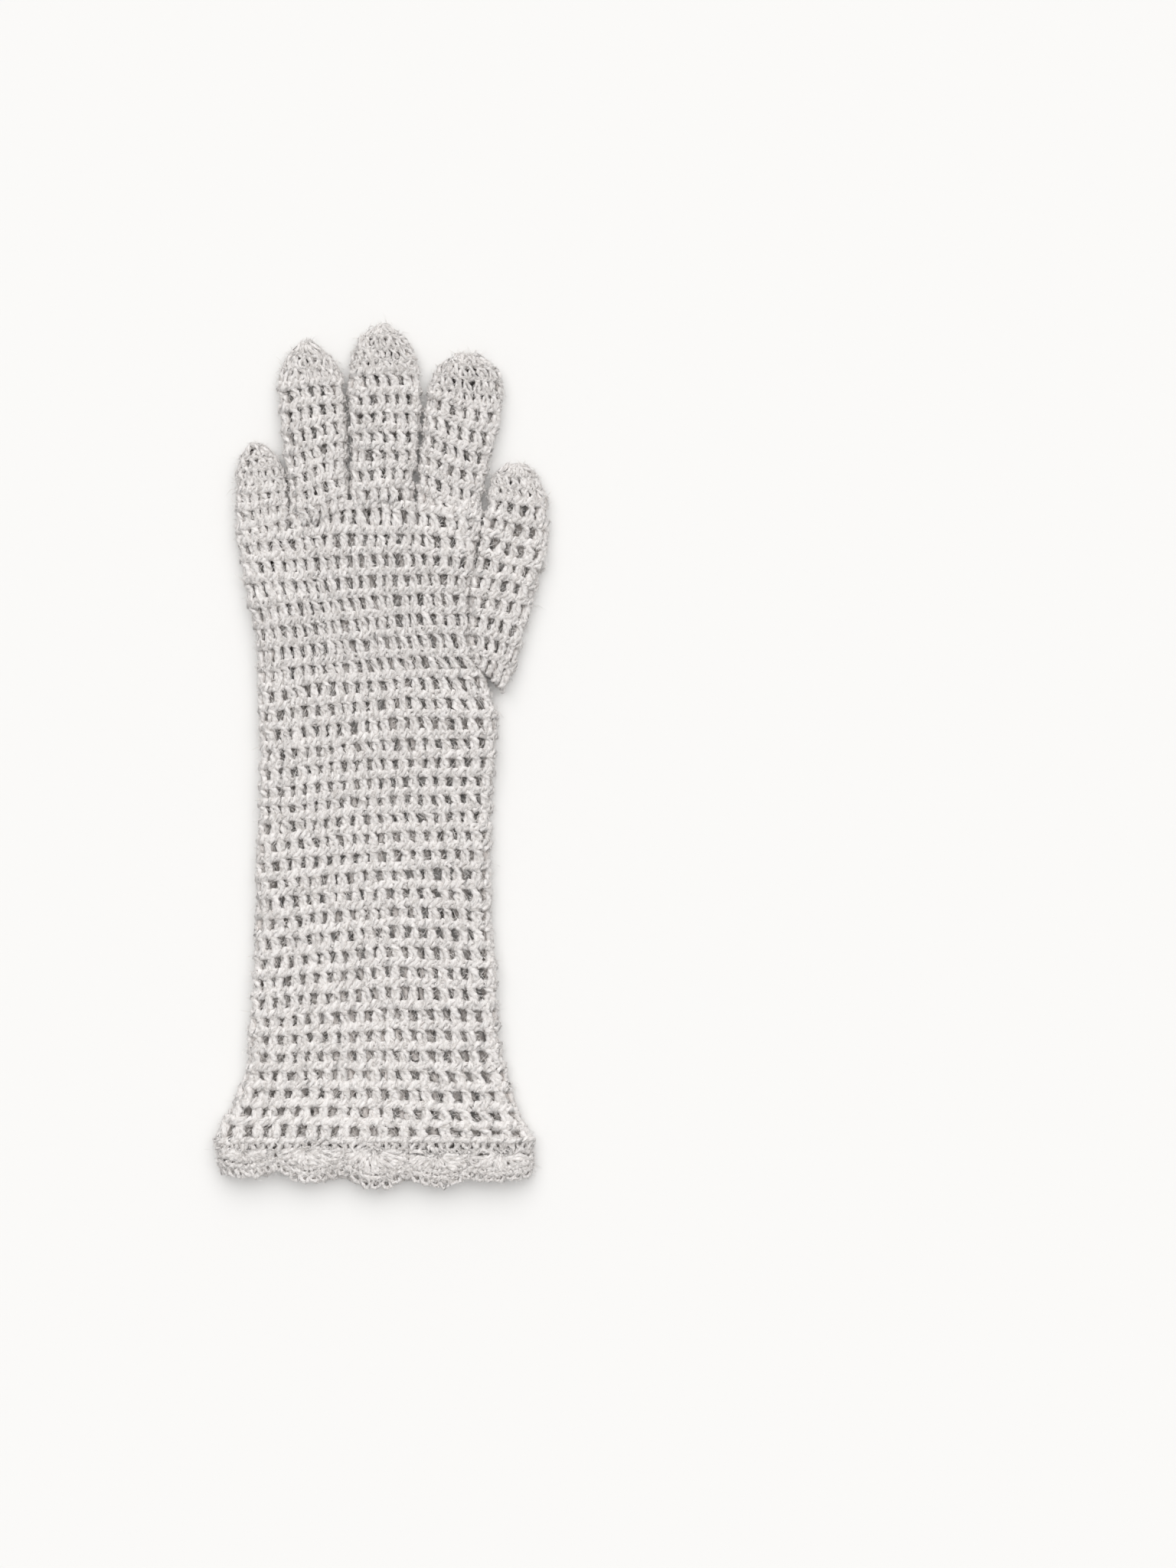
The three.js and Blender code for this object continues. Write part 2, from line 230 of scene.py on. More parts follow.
def straight_rows(rows, height):
    """Table rows for a tube whose rows lie level, from y, left x and right x."""
    y, left, right = np.array(rows).T
    level = np.zeros(len(y))
    return np.column_stack([left, y, right, y, level + height, level])


def finger_rows(root, rows):
    """Table rows for a finger, a little narrower than its outline for the gap beside it."""
    table = np.array([(*root[0], *root[1], FINGER_HEIGHT)] + rows)
    inwards = unit(table[:, 2:4] - table[:, 0:2]) * SIDE_GAP / 2
    lift = (FINGER_HEIGHT - table[:, 4]) * FOLD_LEVEL
    return np.column_stack([table[:, 0:2] + inwards, table[:, 2:4] - inwards, table[:, 4], lift])


# How the rows of the sleeve lie: how far they drop to the left and to the right edge, by y
DROP_AT = [-150, -137, -122, -90, -60, 0, 40, 60, 75, 100]
LEFT_DROP = [-0.5, -1.5, 0.0, 4.2, 5.0, 4.8, 5.0, 4.5, 2.0, 0.5]
RIGHT_DROP = [0.0, 0.0, 0.0, 0.0, -0.8, 0.0, 1.4, 1.4, 1.4, 1.0]
LEFT_DROP_START = 8.0  # x where the drop to the left begins. It is whole a reach further
LEFT_DROP_REACH = 55.0
RIGHT_DROP_START = 5.0
RIGHT_DROP_REACH = 42.0
DROP_BEND = 1.3  # the power with which a drop grows over its reach
DROP_MOST = 1.3  # it goes on growing up to this many times its reach
# How many stitches the columns lean to the right in each row, by y
LEAN_AT = [-150, -128, -108, -85, -50, 0, 20, 34, 50, 100]
LEAN = [0.03, 0.06, 0.13, 0.13, 0.08, 0.03, 0.05, 0.22, 0.05, 0.0]
PALM_START = 66.0  # above this the rows bend down beside the middle finger
PALM_BEND = (0.08, 0.05)  # how steeply they fall there, to the left and to the right
# How much lower than evenly spaced the rows lie, by y
ROWS_AT = [-149, -137, -120, -100, -85, -60, -45, -20, -5, 12, 27, 42, 60, 88, 99]
ROWS_DROP = [1.0, 3.0, 2.8, 2.2, 1.2, 1.2, 1.5, 3.0, 4.5, 5.2, 4.8, 4.4, 3.6, 3.0, 0.8]


def root_line(x):
    """y of the line where the fingers start."""
    xs, ys = np.array(ROOTS).T
    return np.interp(x, xs, ys)


def settle_sleeve(points):
    """Lets the sleeve's rows drop towards its edges as they lie, and more so beside the middle finger."""
    x, y = points[..., 0], points[..., 1]
    y = y - np.interp(y, ROWS_AT, ROWS_DROP)
    left = np.clip((LEFT_DROP_START - x) / LEFT_DROP_REACH, 0, DROP_MOST) ** DROP_BEND
    right = np.clip((x - RIGHT_DROP_START) / RIGHT_DROP_REACH, 0, DROP_MOST) ** DROP_BEND
    y = y - np.interp(y, DROP_AT, LEFT_DROP) * left - np.interp(y, DROP_AT, RIGHT_DROP) * right
    share = np.clip((y - PALM_START) / (ROOT_TOP - PALM_START), 0, 1)
    fall = PALM_BEND[0] * np.maximum(ROOTS[2][0] - x, 0) + PALM_BEND[1] * np.maximum(x - ROOTS[3][0], 0)
    points[..., 1] = y - fall * share**2 * (3 - 2 * share)
    return points


# Stitches near the roots are tight: how far down the palm and up the fingers, and how much thicker their yarn is
TIGHT_BELOW_ROOTS = 11.0
TIGHT_ABOVE_ROOTS = 6.0
TIGHT_CORNER = (-31.0, 56.0)  # the palm is tight to the left of this x above this y, too
TIGHT_POSTS = 1.18
TIGHT_BANDS = 1.12
TIGHT_FINGERS = 1.08
# How far past the roots posts and bands of the palm are still made
POSTS_END = 4.0
BANDS_END = 1.5
# The pieces of the sleeve, upwards: name and columns
SLEEVE_ZONES = [("cuff_stitches", 33), ("forearm_stitches", 33), ("wrist_stitches", 35), ("palm_stitches", 39)]
ZONE_ROWS = 8  # rows in each of them
SLEEVE_STITCH_ROWS = ZONE_ROWS * len(SLEEVE_ZONES)
SLEEVE_CROWDING = 0.1  # how much closer columns are at the left fold, and wider apart at the right one


def sleeve_tube():
    table = straight_rows(SLEEVE_ROWS, SLEEVE_HEIGHT)
    start, end = SLEEVE_ROWS[0][0], SLEEVE_ROWS[-1][0]
    y = np.linspace(start, end, 60)
    row = (ROOT_TOP - start) / SLEEVE_STITCH_ROWS
    drift = np.cumsum(np.interp(y, LEAN_AT, LEAN)) * (y[1] - y[0]) / row / SLEEVE_ZONES[0][1]
    return Tube(table, drift, settle_sleeve)


def curve_basis(controls, samples):
    """The matrix that turns control points into samples on a smooth curve through them."""
    at = np.linspace(0, controls - 1, samples)
    piece = np.minimum(at.astype(int), controls - 2)
    t = at - piece
    weights = [
        (-t**3 + 2 * t**2 - t) / 2,
        (3 * t**3 - 5 * t**2 + 2) / 2,
        (-3 * t**3 + 4 * t**2 + t) / 2,
        (t**3 - t**2) / 2,
    ]
    basis = np.zeros((samples, controls))
    for k, weight in enumerate(weights):
        np.add.at(basis, (np.arange(samples), np.clip(piece + k - 1, 0, controls - 1)), weight)
    return basis


class Yarn:
    """Collects the strands of one piece."""

    TWIST = 0.5  # radians for each millimetre
    LUMPS = 0.14  # how uneven its surface is, as a share of its radius
    LUMPS_RANGE = (0.7, 1.3)  # the least and the most of its radius
    THICKNESS = (0.88, 1.12)  # how thin and how thick strands are
    START = 60.0  # millimetres by which strands start at different places of the marl

    def __init__(self):
        self.strands = []
        self.crossing = []

    def add(self, line, radius, sides=5, hairy=True):
        """line: points, normals and how far out of the fabric each point is. radius: one, or one for each."""
        points, normals, out = line
        count, samples = points.shape[:2]
        tangent = unit(np.gradient(points, axis=1))
        side = unit(np.cross(tangent, normals))
        up = np.cross(side, tangent)
        step = np.linalg.norm(np.diff(points, axis=1), axis=2)
        along = np.concatenate([np.zeros((count, 1)), np.cumsum(step, axis=1)], axis=1)
        along += rng.uniform(0, self.START, (count, 1))
        angle = 2 * math.pi * np.arange(sides) / sides + (along * self.TWIST)[:, :, None]
        radius = np.broadcast_to(radius, (count, samples)) * rng.uniform(*self.THICKNESS, (count, 1))
        uneven = 1 + rng.normal(size=(count, samples, sides)) * self.LUMPS
        reach = radius[:, :, None] * np.clip(uneven, *self.LUMPS_RANGE)
        ring = points[:, :, None] + (reach * np.cos(angle))[..., None] * side[:, :, None]
        ring = ring + (reach * np.sin(angle))[..., None] * up[:, :, None]
        height = out[:, :, None] + reach * np.sin(angle)
        self.strands.append({
            "ring": ring, "along": along, "height": height, "tone": rng.uniform(0, 1, count),
            "points": points, "tangent": tangent, "side": side, "up": up, "radius": radius, "hairy": hairy,
        })


# Loose fibres: how many for each millimetre of strand, length, how much they stand off it, half their thickness
SHORT_HAIRS = (1.0, 2.0, 0.3, 0.09)
LONG_HAIRS = (0.5, 2.3, 0.7, 0.093)
CROSSING_HAIRS = 10  # for each hole
HAIR_WIDTHS = (0.8, 1.3)  # how thin and how thick fibres are
HAIR_FOOT = 0.8  # share of the strand's radius at which a fibre starts
HAIR_FLOOR = 0.15  # fibres of the yarn that reach below this height are left out


def strand_hairs(strand, density, length, stand):
    """Base, middle and tip of loose fibres on the outer side of one kind of strand."""
    points = strand["points"]
    count, samples = points.shape[:2]
    reach = np.linalg.norm(np.diff(points, axis=1), axis=2).sum()
    number = int(reach * density)
    which = rng.integers(0, count, number)
    at = rng.uniform(0, samples - 1.001, number)
    low, share = at.astype(int), (at % 1)[:, None]
    base = points[which, low] * (1 - share) + points[which, low + 1] * share
    angle = rng.normal(0, 1.1, (number, 1))
    off = np.sin(angle) * strand["side"][which, low] + np.cos(angle) * strand["up"][which, low]
    base = base + off * strand["radius"][which, low][:, None] * HAIR_FOOT
    way = strand["tangent"][which, low] * rng.choice([-1, 1], (number, 1))
    half = length * rng.lognormal(0, 0.4, (number, 1)) / 2
    lie = rng.uniform(0.3, 1.3, (number, 1))
    stray = rng.normal(size=(number, 3)) * 0.35
    middle = base + half * unit(off * stand + way * lie + stray)
    tip = middle + half * unit(off * 0.2 + way * lie + stray + rng.normal(size=(number, 3)) * 0.5)
    lines = np.stack([base, middle, tip], axis=1)
    return lines[lines[:, :, 2].min(axis=1) > HAIR_FLOOR]


def hair_lines(yarn, density, length, stand):
    hairy = [strand for strand in yarn.strands if strand["hairy"]]
    return np.concatenate([strand_hairs(strand, density, length, stand) for strand in hairy])


# The map for baking has a cell for each strand, above a strip of cells each shared by all fibres of one tone
FIBRE_STRIP = 0.06
FIBRE_TONES = 64
CAP_SHARE = 0.06  # the part of a strand's cell at either end that holds its cap
CELL_MARGIN = 0.04
CAP_RADIUS = 0.4  # of a cap in its part of the cell


class Solid:
    """Collects vertices and faces with their maps and attributes, and makes the mesh of a piece."""

    def __init__(self, strands):
        self.vertices, self.faces, self.sizes, self.map, self.bake = [], [], [], [], []
        self.tone, self.height, self.slots = [], [], []
        self.total = 0
        self.cells_across = math.ceil(math.sqrt(strands))
        self.cells_used = 0

    def strand_cells(self, count):
        """Lower left corners of the next cells of the bake map, and their size."""
        number = self.cells_used + np.arange(count)
        self.cells_used += count
        size = np.array([1.0, 1 - FIBRE_STRIP]) / self.cells_across
        place = np.column_stack([number % self.cells_across, number // self.cells_across])
        return place * size + np.array([0, FIBRE_STRIP]), size

    def add_vertices(self, block, tone, height):
        """Adds an array of points and returns their numbers in the same layout."""
        count = block.size // 3
        index = self.total + np.arange(count).reshape(block.shape[:-1])
        self.total += count
        self.vertices.append(block.reshape(-1, 3))
        self.tone.append(np.broadcast_to(tone, block.shape[:-1]).ravel())
        self.height.append(np.broadcast_to(height, block.shape[:-1]).ravel())
        return index

    def add_faces(self, corners, uv, bake, slot=0):
        """corners: any layout with the corners of a face last. uv and bake: two numbers for each corner."""
        size = corners.shape[-1]
        self.faces.append(corners.ravel())
        self.sizes.append(np.full(corners.size // size, size))
        self.slots.append(np.full(corners.size // size, slot))
        self.map.append(np.broadcast_to(uv, corners.shape + (2,)).reshape(-1, 2))
        self.bake.append(np.broadcast_to(bake, corners.shape + (2,)).reshape(-1, 2))

    def mesh(self, name):
        vertices = np.concatenate(self.vertices)
        vertices[:, 2] = np.maximum(vertices[:, 2], FLOOR_GAP)
        faces, sizes = np.concatenate(self.faces), np.concatenate(self.sizes)
        mesh = bpy.data.meshes.new(name)
        mesh.vertices.add(len(vertices))
        mesh.vertices.foreach_set("co", (vertices * MM).astype(np.float32).ravel())
        mesh.loops.add(len(faces))
        mesh.loops.foreach_set("vertex_index", faces.astype(np.int32))
        mesh.polygons.add(len(sizes))
        starts = np.concatenate([[0], np.cumsum(sizes)[:-1]])
        mesh.polygons.foreach_set("loop_start", starts.astype(np.int32))
        mesh.polygons.foreach_set("use_smooth", np.ones(len(sizes), bool))
        mesh.polygons.foreach_set("material_index", np.concatenate(self.slots).astype(np.int32))
        mesh.update(calc_edges=True)
        for layer, places in (("yarn", self.map), ("OFBake", self.bake)):
            data = mesh.uv_layers.new(name=layer).uv
            data.foreach_set("vector", np.concatenate(places).astype(np.float32).ravel())
        for attribute, values in (("tone", self.tone), ("height", self.height)):
            data = mesh.attributes.new(attribute, "FLOAT", "POINT").data
            data.foreach_set("value", np.concatenate(values).astype(np.float32))
        return mesh


def add_strands(solid, strand):
    """Closed tubes around every strand of one kind."""
    index = solid.add_vertices(strand["ring"], strand["tone"][:, None, None], strand["height"])
    corner, size = solid.strand_cells(len(index))
    margin = CELL_MARGIN * size
    corner, size = corner + margin, size - 2 * margin
    add_walls(solid, index, strand["along"], corner, size)
    add_caps(solid, index, strand["along"], corner, size)


def near_and_far(values, shape):
    """For each face between two rings: the near ring's value at two corners, the far ring's at two."""
    near, far = (np.broadcast_to(part[:, :, None], shape) for part in (values[:, :-1], values[:, 1:]))
    return np.stack([near, near, far, far], axis=-1)


def add_walls(solid, index, along, corner, size):
    """The faces around every strand of one kind, from one end to the other."""
    samples, sides = index.shape[1:]
    here, there = index[:, :-1], index[:, 1:]
    corners = np.stack([here, np.roll(here, -1, 2), np.roll(there, -1, 2), there], axis=-1)
    left = np.broadcast_to(np.arange(sides) / sides, here.shape)
    around = np.stack([left, left + 1 / sides, left + 1 / sides, left], axis=-1)
    uv = np.stack([around, near_and_far(along, here.shape)], axis=-1)
    step = CAP_SHARE + (1 - 2 * CAP_SHARE) * np.linspace(0, 1, samples)[None]
    bake = np.stack([near_and_far(step, here.shape), around], axis=-1)
    solid.add_faces(corners, uv, corner[:, None, None, None] + bake * size)


def add_caps(solid, index, along, corner, size):
    """Closes both ends of every strand of one kind."""
    sides = index.shape[2]
    turn = 2 * math.pi * np.arange(sides) / sides
    ends = (
        (index[:, 0, ::-1], along[:, :1], CAP_SHARE / 2),
        (index[:, -1], along[:, -1:], 1 - CAP_SHARE / 2),
    )
    for cap, at, middle in ends:
        around = np.broadcast_to(np.arange(sides) / sides, cap.shape)
        uv = np.stack([around, np.broadcast_to(at, cap.shape)], axis=-1)
        ring = np.column_stack([CAP_SHARE * np.cos(turn), np.sin(turn)]) * CAP_RADIUS
        solid.add_faces(cap, uv, corner[:, None] + (ring + [middle, 0.5]) * size)


def hair_section(lines, at, thickness):
    """Three points around each fibre, at one point of its line."""
    line = unit(lines[:, 2] - lines[:, 0])
    one = unit(np.cross(line, rng.normal(size=line.shape)))
    two = np.cross(line, one)
    width = thickness * rng.uniform(*HAIR_WIDTHS, (len(lines), 1))
    turn = 2 * math.pi * np.arange(3)[None, :, None] / 3
    return lines[:, at, None] + width[:, None] * (np.cos(turn) * one[:, None] + np.sin(turn) * two[:, None])


def fibre_tones(count):
    """The tone of each fibre, and the corners of a triangle in the cell of that tone in the bake map."""
    level = np.floor(rng.uniform(0, 1, count) * FIBRE_TONES)
    triangle = np.array([(0.2, 0.2), (0.8, 0.2), (0.5, 0.8)]) * np.array([1 / FIBRE_TONES, FIBRE_STRIP])
    corner = np.column_stack([level / FIBRE_TONES, np.zeros(count)])
    return (level[:, None] + 0.5) / FIBRE_TONES, corner[:, None, None] + triangle


# Triangles of a straight fibre, a spike on three points, and of a bent one, three points between two tips
SPIKE = np.array([(0, 2, 1), (0, 1, 3), (1, 2, 3), (2, 0, 3)])
SPINDLE = np.array([(0, 2, 1), (0, 3, 2), (0, 1, 3), (4, 1, 2), (4, 2, 3), (4, 3, 1)])


def add_fibres(solid, parts, triangles):
    """Closed fibres, from the points of each in parts and the triangles between them."""
    points = np.concatenate(parts, axis=1)
    tone, bake = fibre_tones(len(points))
    index = solid.add_vertices(points, tone, 1.0)
    solid.add_faces(index[:, triangles], np.zeros(2), bake, slot=1)


def put_in_scene(name, data):
    made = bpy.data.objects.new(name, data)
    bpy.context.scene.collection.objects.link(made)
    return made


def yarn_piece(name, yarn):
    """One object with all strands of a piece and their loose fibres."""
    solid = Solid(sum(len(strand["along"]) for strand in yarn.strands))
    for strand in yarn.strands:
        add_strands(solid, strand)
    density, length, stand, thickness = SHORT_HAIRS
    lines = hair_lines(yarn, density, length, stand)
    add_fibres(solid, [hair_section(lines, 0, thickness), lines[:, 2:]], SPIKE)
    density, length, stand, thickness = LONG_HAIRS
    lines = np.concatenate([hair_lines(yarn, density, length, stand)] + yarn.crossing)
    add_fibres(solid, [lines[:, :1], hair_section(lines, 1, thickness), lines[:, 2:]], SPINDLE)
    return put_in_scene(name, solid.mesh(name))


USUAL_PITCH = 5.2  # width of a stitch of usual yarn
THINNING = 0.7  # in narrower stitches yarn gets thinner by this power of their width
NARROWING = 0.8  # and posts get narrower by this one
ROW_STRAY = 0.14  # how far a row is shifted along itself, as a share of a stitch
POST_STRAY = 0.065  # and each of its posts on its own


def cells_of(tube, v_from, v_to, rows, columns, plump=1.0):
    """The stitches of a zone: where each starts, how high its row is and how wide the stitch."""
    row, column = np.meshgrid(np.arange(rows), np.arange(columns), indexing="ij")
    height = (v_to - v_from) / rows
    v = v_from + row.ravel() * height
    shift = rng.normal(0, ROW_STRAY, rows)
    u = (column.ravel() + 0.5 + shift[row.ravel()]) / columns
    girth = tube.girth_at(v + height / 2)
    size = np.full(v.shape, height * tube.length)
    pitch = girth / columns
    plump = plump * np.clip(pitch / USUAL_PITCH, 0.6, 1.4) ** THINNING
    return {"u": u, "v": v, "height": size, "girth": girth, "pitch": pitch, "plump": plump}


def chosen(cells, mask):
    return {key: value[mask] for key, value in cells.items()}


def lay(tube, cells, x, y, out):
    """Puts strands on the fabric, x and y millimetres from where each stitch starts, out millimetres off."""
    u = cells["u"][:, None] + x / cells["girth"][:, None]
    v = cells["v"][:, None] + y / tube.length
    out = np.broadcast_to(out, x.shape)
    points, normals = tube.place(u, v, out)
    return points, normals, out


# Strands of a post in an open stitch, seen from outside. Each row is a point: millimetres across from the post's
# middle, share of the row's height, millimetres up and millimetres out of the fabric
POST_LEFT = [(-0.2, 0, 0.2, -0.3), (-0.75, 0, 1.6, 0.05), (-0.85, 0, 3.2, 0.2), (-0.8, 1, -3.0, 0.15),
             (-0.6, 1, -1.7, 0.0), (0.2, 1, -0.4, -0.3)]
POST_RIGHT = [(1.0, 0, -0.5, 0.1), (0.95, 0, 1.2, 0.4), (0.85, 0, 2.8, 0.5), (0.55, 1, -3.3, 0.6),
              (-0.2, 1, -2.2, 0.75), (-1.3, 1, -1.2, 0.75), (-2.6, 1, -0.3, 0.2)]
POST_WRAP = [(-1.6, 0, -0.7, 0.1), (-0.5, 0, 0.6, 0.75), (0.4, 0, 1.8, 0.75), (0.3, 0, 3.0, 0.2)]
POST_BACK = [(0.2, 0, 0.2, -0.7), (0.05, 0.5, 0.0, -0.5), (0.0, 1, -0.2, -0.7)]
POST_SINK = 0.15  # how much deeper posts lie in the fabric than in these tables
POINT_STRAY = 0.2  # how far each point on a post strays
POST_YARN = YARN * 1.19
# Radius at each point of the two front strands, as a share of the post's
LEFT_TAPER = np.array([0.85, 1, 1, 1, 1, 0.85])
RIGHT_TAPER = np.array([0.8, 1, 1.05, 1.05, 1.05, 1, 0.7])


def post(tube, cells, table):
    """One kind of strand of the posts in open stitches."""
    across, share, up, out = np.array(table).T
    squeeze = np.clip(cells["pitch"] / USUAL_PITCH, 0.5, 1.4)[:, None] ** NARROWING
    stray = rng.normal(size=(3, len(squeeze), len(table))) * POINT_STRAY
    x = across * squeeze + stray[0]
    y = share * cells["height"][:, None] + up + stray[1]
    return lay(tube, cells, x, y, out - POST_SINK + stray[2] * 0.6)


BAND_YARN = YARN * 1.23
BAND_REACH = 0.54  # share of a stitch that its strands cover to either side of its post
BAND_LAG = 0.6  # radians by which its twist is behind its stitch
BAND_OUT = 0.45  # how far out of the fabric it lies
BAND_DEPTH = 0.5  # how far its strands swing in and out there


def band(tube, cells, yarn, swing=1.35, radius=BAND_YARN, samples=5):
    """The strands along the top of a row: two that twist around each other and a third behind them."""
    count = len(cells["u"])
    s = np.linspace(-BAND_REACH, BAND_REACH, samples)
    x = s * cells["pitch"][:, None]
    top = cells["height"][:, None]
    radius = radius * cells["plump"][:, None]
    for phase in (-BAND_LAG, math.pi - BAND_LAG):
        angle = 2 * math.pi * s + phase + rng.normal(size=(count, 1)) * 0.25
        y = top + swing * np.sin(angle) + rng.normal(size=(count, 1)) * 0.12
        yarn.add(lay(tube, cells, x, y, BAND_OUT + BAND_DEPTH * np.cos(angle)), radius)
    x = np.linspace(-BAND_REACH, BAND_REACH, 3) * cells["pitch"][:, None]
    yarn.add(lay(tube, cells, x, top + np.zeros(x.shape), -0.5), radius * 1.3, sides=4, hairy=False)


def cross_holes(tube, cells, yarn):
    """Loose fibres that cross the hole beside each post."""
    number = len(cells["u"]) * CROSSING_HAIRS
    which = np.repeat(np.arange(len(cells["u"])), CROSSING_HAIRS)
    pitch, height = cells["pitch"][which, None], cells["height"][which, None]
    # Each line below gives the start, the middle and the end of every fibre, first as shares of its stitch
    start = rng.uniform(0.05, 0.45, (number, 1))
    across = np.array([0.0, 0.5, 1.0]) * rng.uniform(0.4, 0.75, (number, 1)) + start
    rise = np.array([-0.5, 0.0, 0.5]) * rng.normal(0, 0.5, (number, 1)) + rng.uniform(0.2, 0.8, (number, 1))
    bend = np.array([0.0, 1.0, 0.0])
    rise = rise + bend * rng.normal(0, 0.12, (number, 1))
    way = rng.choice([-1, 1], (number, 1))
    x = way * across * pitch + (way < 0) * pitch
    out = rng.uniform(-1.2, 1.0, (number, 1)) + bend * rng.normal(0, 0.4, (number, 1))
    yarn.crossing.append(lay(tube, chosen(cells, which), x, rise * height, out)[0])


def open_posts(tube, cells, yarn):
    """Posts with a hole beside each."""
    radius = POST_YARN * cells["plump"][:, None]
    stray = rng.normal(0, POST_STRAY, len(cells["u"])) * cells["pitch"]
    cells = dict(cells, u=cells["u"] + stray / cells["girth"])
    yarn.add(post(tube, cells, POST_LEFT), radius * LEFT_TAPER)
    yarn.add(post(tube, cells, POST_RIGHT), radius * RIGHT_TAPER)
    yarn.add(post(tube, cells, POST_WRAP), radius * 0.9)
    yarn.add(post(tube, cells, POST_BACK), radius * 1.3, sides=4, hairy=False)
    cross_holes(tube, cells, yarn)


# One close stitch, without a hole: share of its width, share of its height, millimetres out of the fabric
CLOSE_LEFT = [(-0.32, 0.0, 0.1), (-0.34, 0.35, 0.35), (-0.15, 0.7, 0.45), (0.2, 1.0, 0.1)]
CLOSE_RIGHT = [(0.26, -0.05, 0.2), (0.2, 0.35, 0.55), (-0.1, 0.75, 0.75), (-0.6, 1.05, 0.3)]
CLOSE_BACK = [(0.0, 0.0, -0.6), (0.0, 0.5, -0.5), (0.0, 1.0, -0.6)]
# Radii of these strands and of the band above them, and how far that band swings up and down
CLOSE_LEFT_YARN = YARN * 0.88
CLOSE_RIGHT_YARN = YARN * 0.93
CLOSE_BACK_YARN = 1.4
CLOSE_BAND_YARN = YARN * 0.86
CLOSE_BAND_SWING = 0.7
CLOSE_STRAY = 0.12  # how far each point strays, as a share of the stitch


def close_strand(tube, cells, table, samples):
    """One kind of strand of close stitches."""
    across, up, out = np.array(table).T
    stray = rng.normal(size=(3, len(cells["u"]), len(table))) * CLOSE_STRAY
    x = (across + stray[0]) * cells["pitch"][:, None]
    y = (up + stray[1]) * cells["height"][:, None]
    basis = curve_basis(len(table), samples).T
    return lay(tube, cells, x @ basis, y @ basis, (out + stray[2] * 2) @ basis)


def close_stitches(tube, cells, yarn):
    """Posts side by side, and the band above them."""
    yarn.add(close_strand(tube, cells, CLOSE_LEFT, 5), CLOSE_LEFT_YARN)
    yarn.add(close_strand(tube, cells, CLOSE_RIGHT, 5), CLOSE_RIGHT_YARN)
    yarn.add(close_strand(tube, cells, CLOSE_BACK, 3), CLOSE_BACK_YARN, sides=4, hairy=False)
    band(tube, cells, yarn, swing=CLOSE_BAND_SWING, radius=CLOSE_BAND_YARN, samples=4)


def crowd(cells):
    """Sets the columns of the sleeve closer together near its left fold."""
    turn = 2 * math.pi * cells["u"]
    cells["u"] = cells["u"] - SLEEVE_CROWDING * np.sin(turn) / 2 / math.pi
    cells["pitch"] = cells["pitch"] * (1 - SLEEVE_CROWDING * np.cos(turn))


def sleeve_pieces(tube):
    """The open mesh of the sleeve and the palm, in four pieces."""
    height = (ROOT_TOP - SLEEVE_ROWS[0][0]) / tube.length / SLEEVE_STITCH_ROWS
    pieces = []
    for zone, (name, columns) in enumerate(SLEEVE_ZONES):
        first = zone * ZONE_ROWS
        yarn = Yarn()
        cells = cells_of(tube, first * height, (first + ZONE_ROWS) * height, ZONE_ROWS, columns)
        crowd(cells)
        middle = tube.place(cells["u"], cells["v"] + height / 2, np.zeros(cells["u"].shape))[0]
        room = root_line(middle[:, 0]) - middle[:, 1]
        corner = (middle[:, 0] < TIGHT_CORNER[0]) & (middle[:, 1] > TIGHT_CORNER[1])
        tight = (room < TIGHT_BELOW_ROOTS) | corner
        plump = cells["plump"]
        cells["plump"] = plump * np.where(tight, TIGHT_POSTS, 1.0)
        open_posts(tube, chosen(cells, room > -POSTS_END), yarn)
        cells["plump"] = plump * np.where(tight, TIGHT_BANDS, 1.0)
        band(tube, chosen(cells, room > -BANDS_END), yarn)
        pieces.append(yarn_piece(name, yarn))
    return pieces


# Each finger: node, root, rows of its outline, its open stitches, columns in each row of close ones above them,
# turns of its columns. Of the open stitches: share of the finger, rows, columns and how thick their yarn is
FINGERS = [
    ("little_finger", ROOTS[0:2], LITTLE_ROWS, (0.54, 3, 12, 1.2), (15, 13, 10, 6), 0.0),
    ("ring_finger", ROOTS[1:3], RING_ROWS, (0.77, 7, 12, 1.05), (17, 14, 9), 0.0),
    ("middle_finger", ROOTS[2:4], MIDDLE_ROWS, (0.74, 7, 12, 1.05), (19, 18, 14, 8), 0.0),
    ("index_finger", ROOTS[3:5], INDEX_ROWS, (0.71, 6, 12, 1.05), (19, 17, 14, 9), 0.0),
    ("thumb", THUMB_ROOT, THUMB_ROWS, (0.84, 9, 10, 1.0), (16, 13, 8), 0.38),
]


def finger_piece(name, root, rows, open_stitches, close_columns, turns):
    """A finger: open rows from its root, then close rows that draw in to the tip."""
    tube = Tube(finger_rows(root, rows), np.array([0, turns]))
    share, count, columns, plump = open_stitches
    yarn = Yarn()
    cells = cells_of(tube, 0, share, count, columns, plump)
    near_root = cells["v"] * tube.length < TIGHT_ABOVE_ROOTS
    cells["plump"] = cells["plump"] * np.where(near_root, TIGHT_FINGERS, 1.0)
    open_posts(tube, cells, yarn)
    band(tube, cells, yarn)
    height = (1 - share) / len(close_columns)
    for row, columns in enumerate(close_columns):
        v = share + row * height
        close_stitches(tube, cells_of(tube, v, v + height, 1, columns), yarn)
    return yarn_piece(name + "_stitches", yarn)


def shell_depth(within, notch, depth, next_notch):
    """How far the edging reaches below its upper line, at a share of the way across one shell."""
    side = notch if within < 0.5 else next_notch
    return side + (depth - side) * math.sin(math.pi * within)


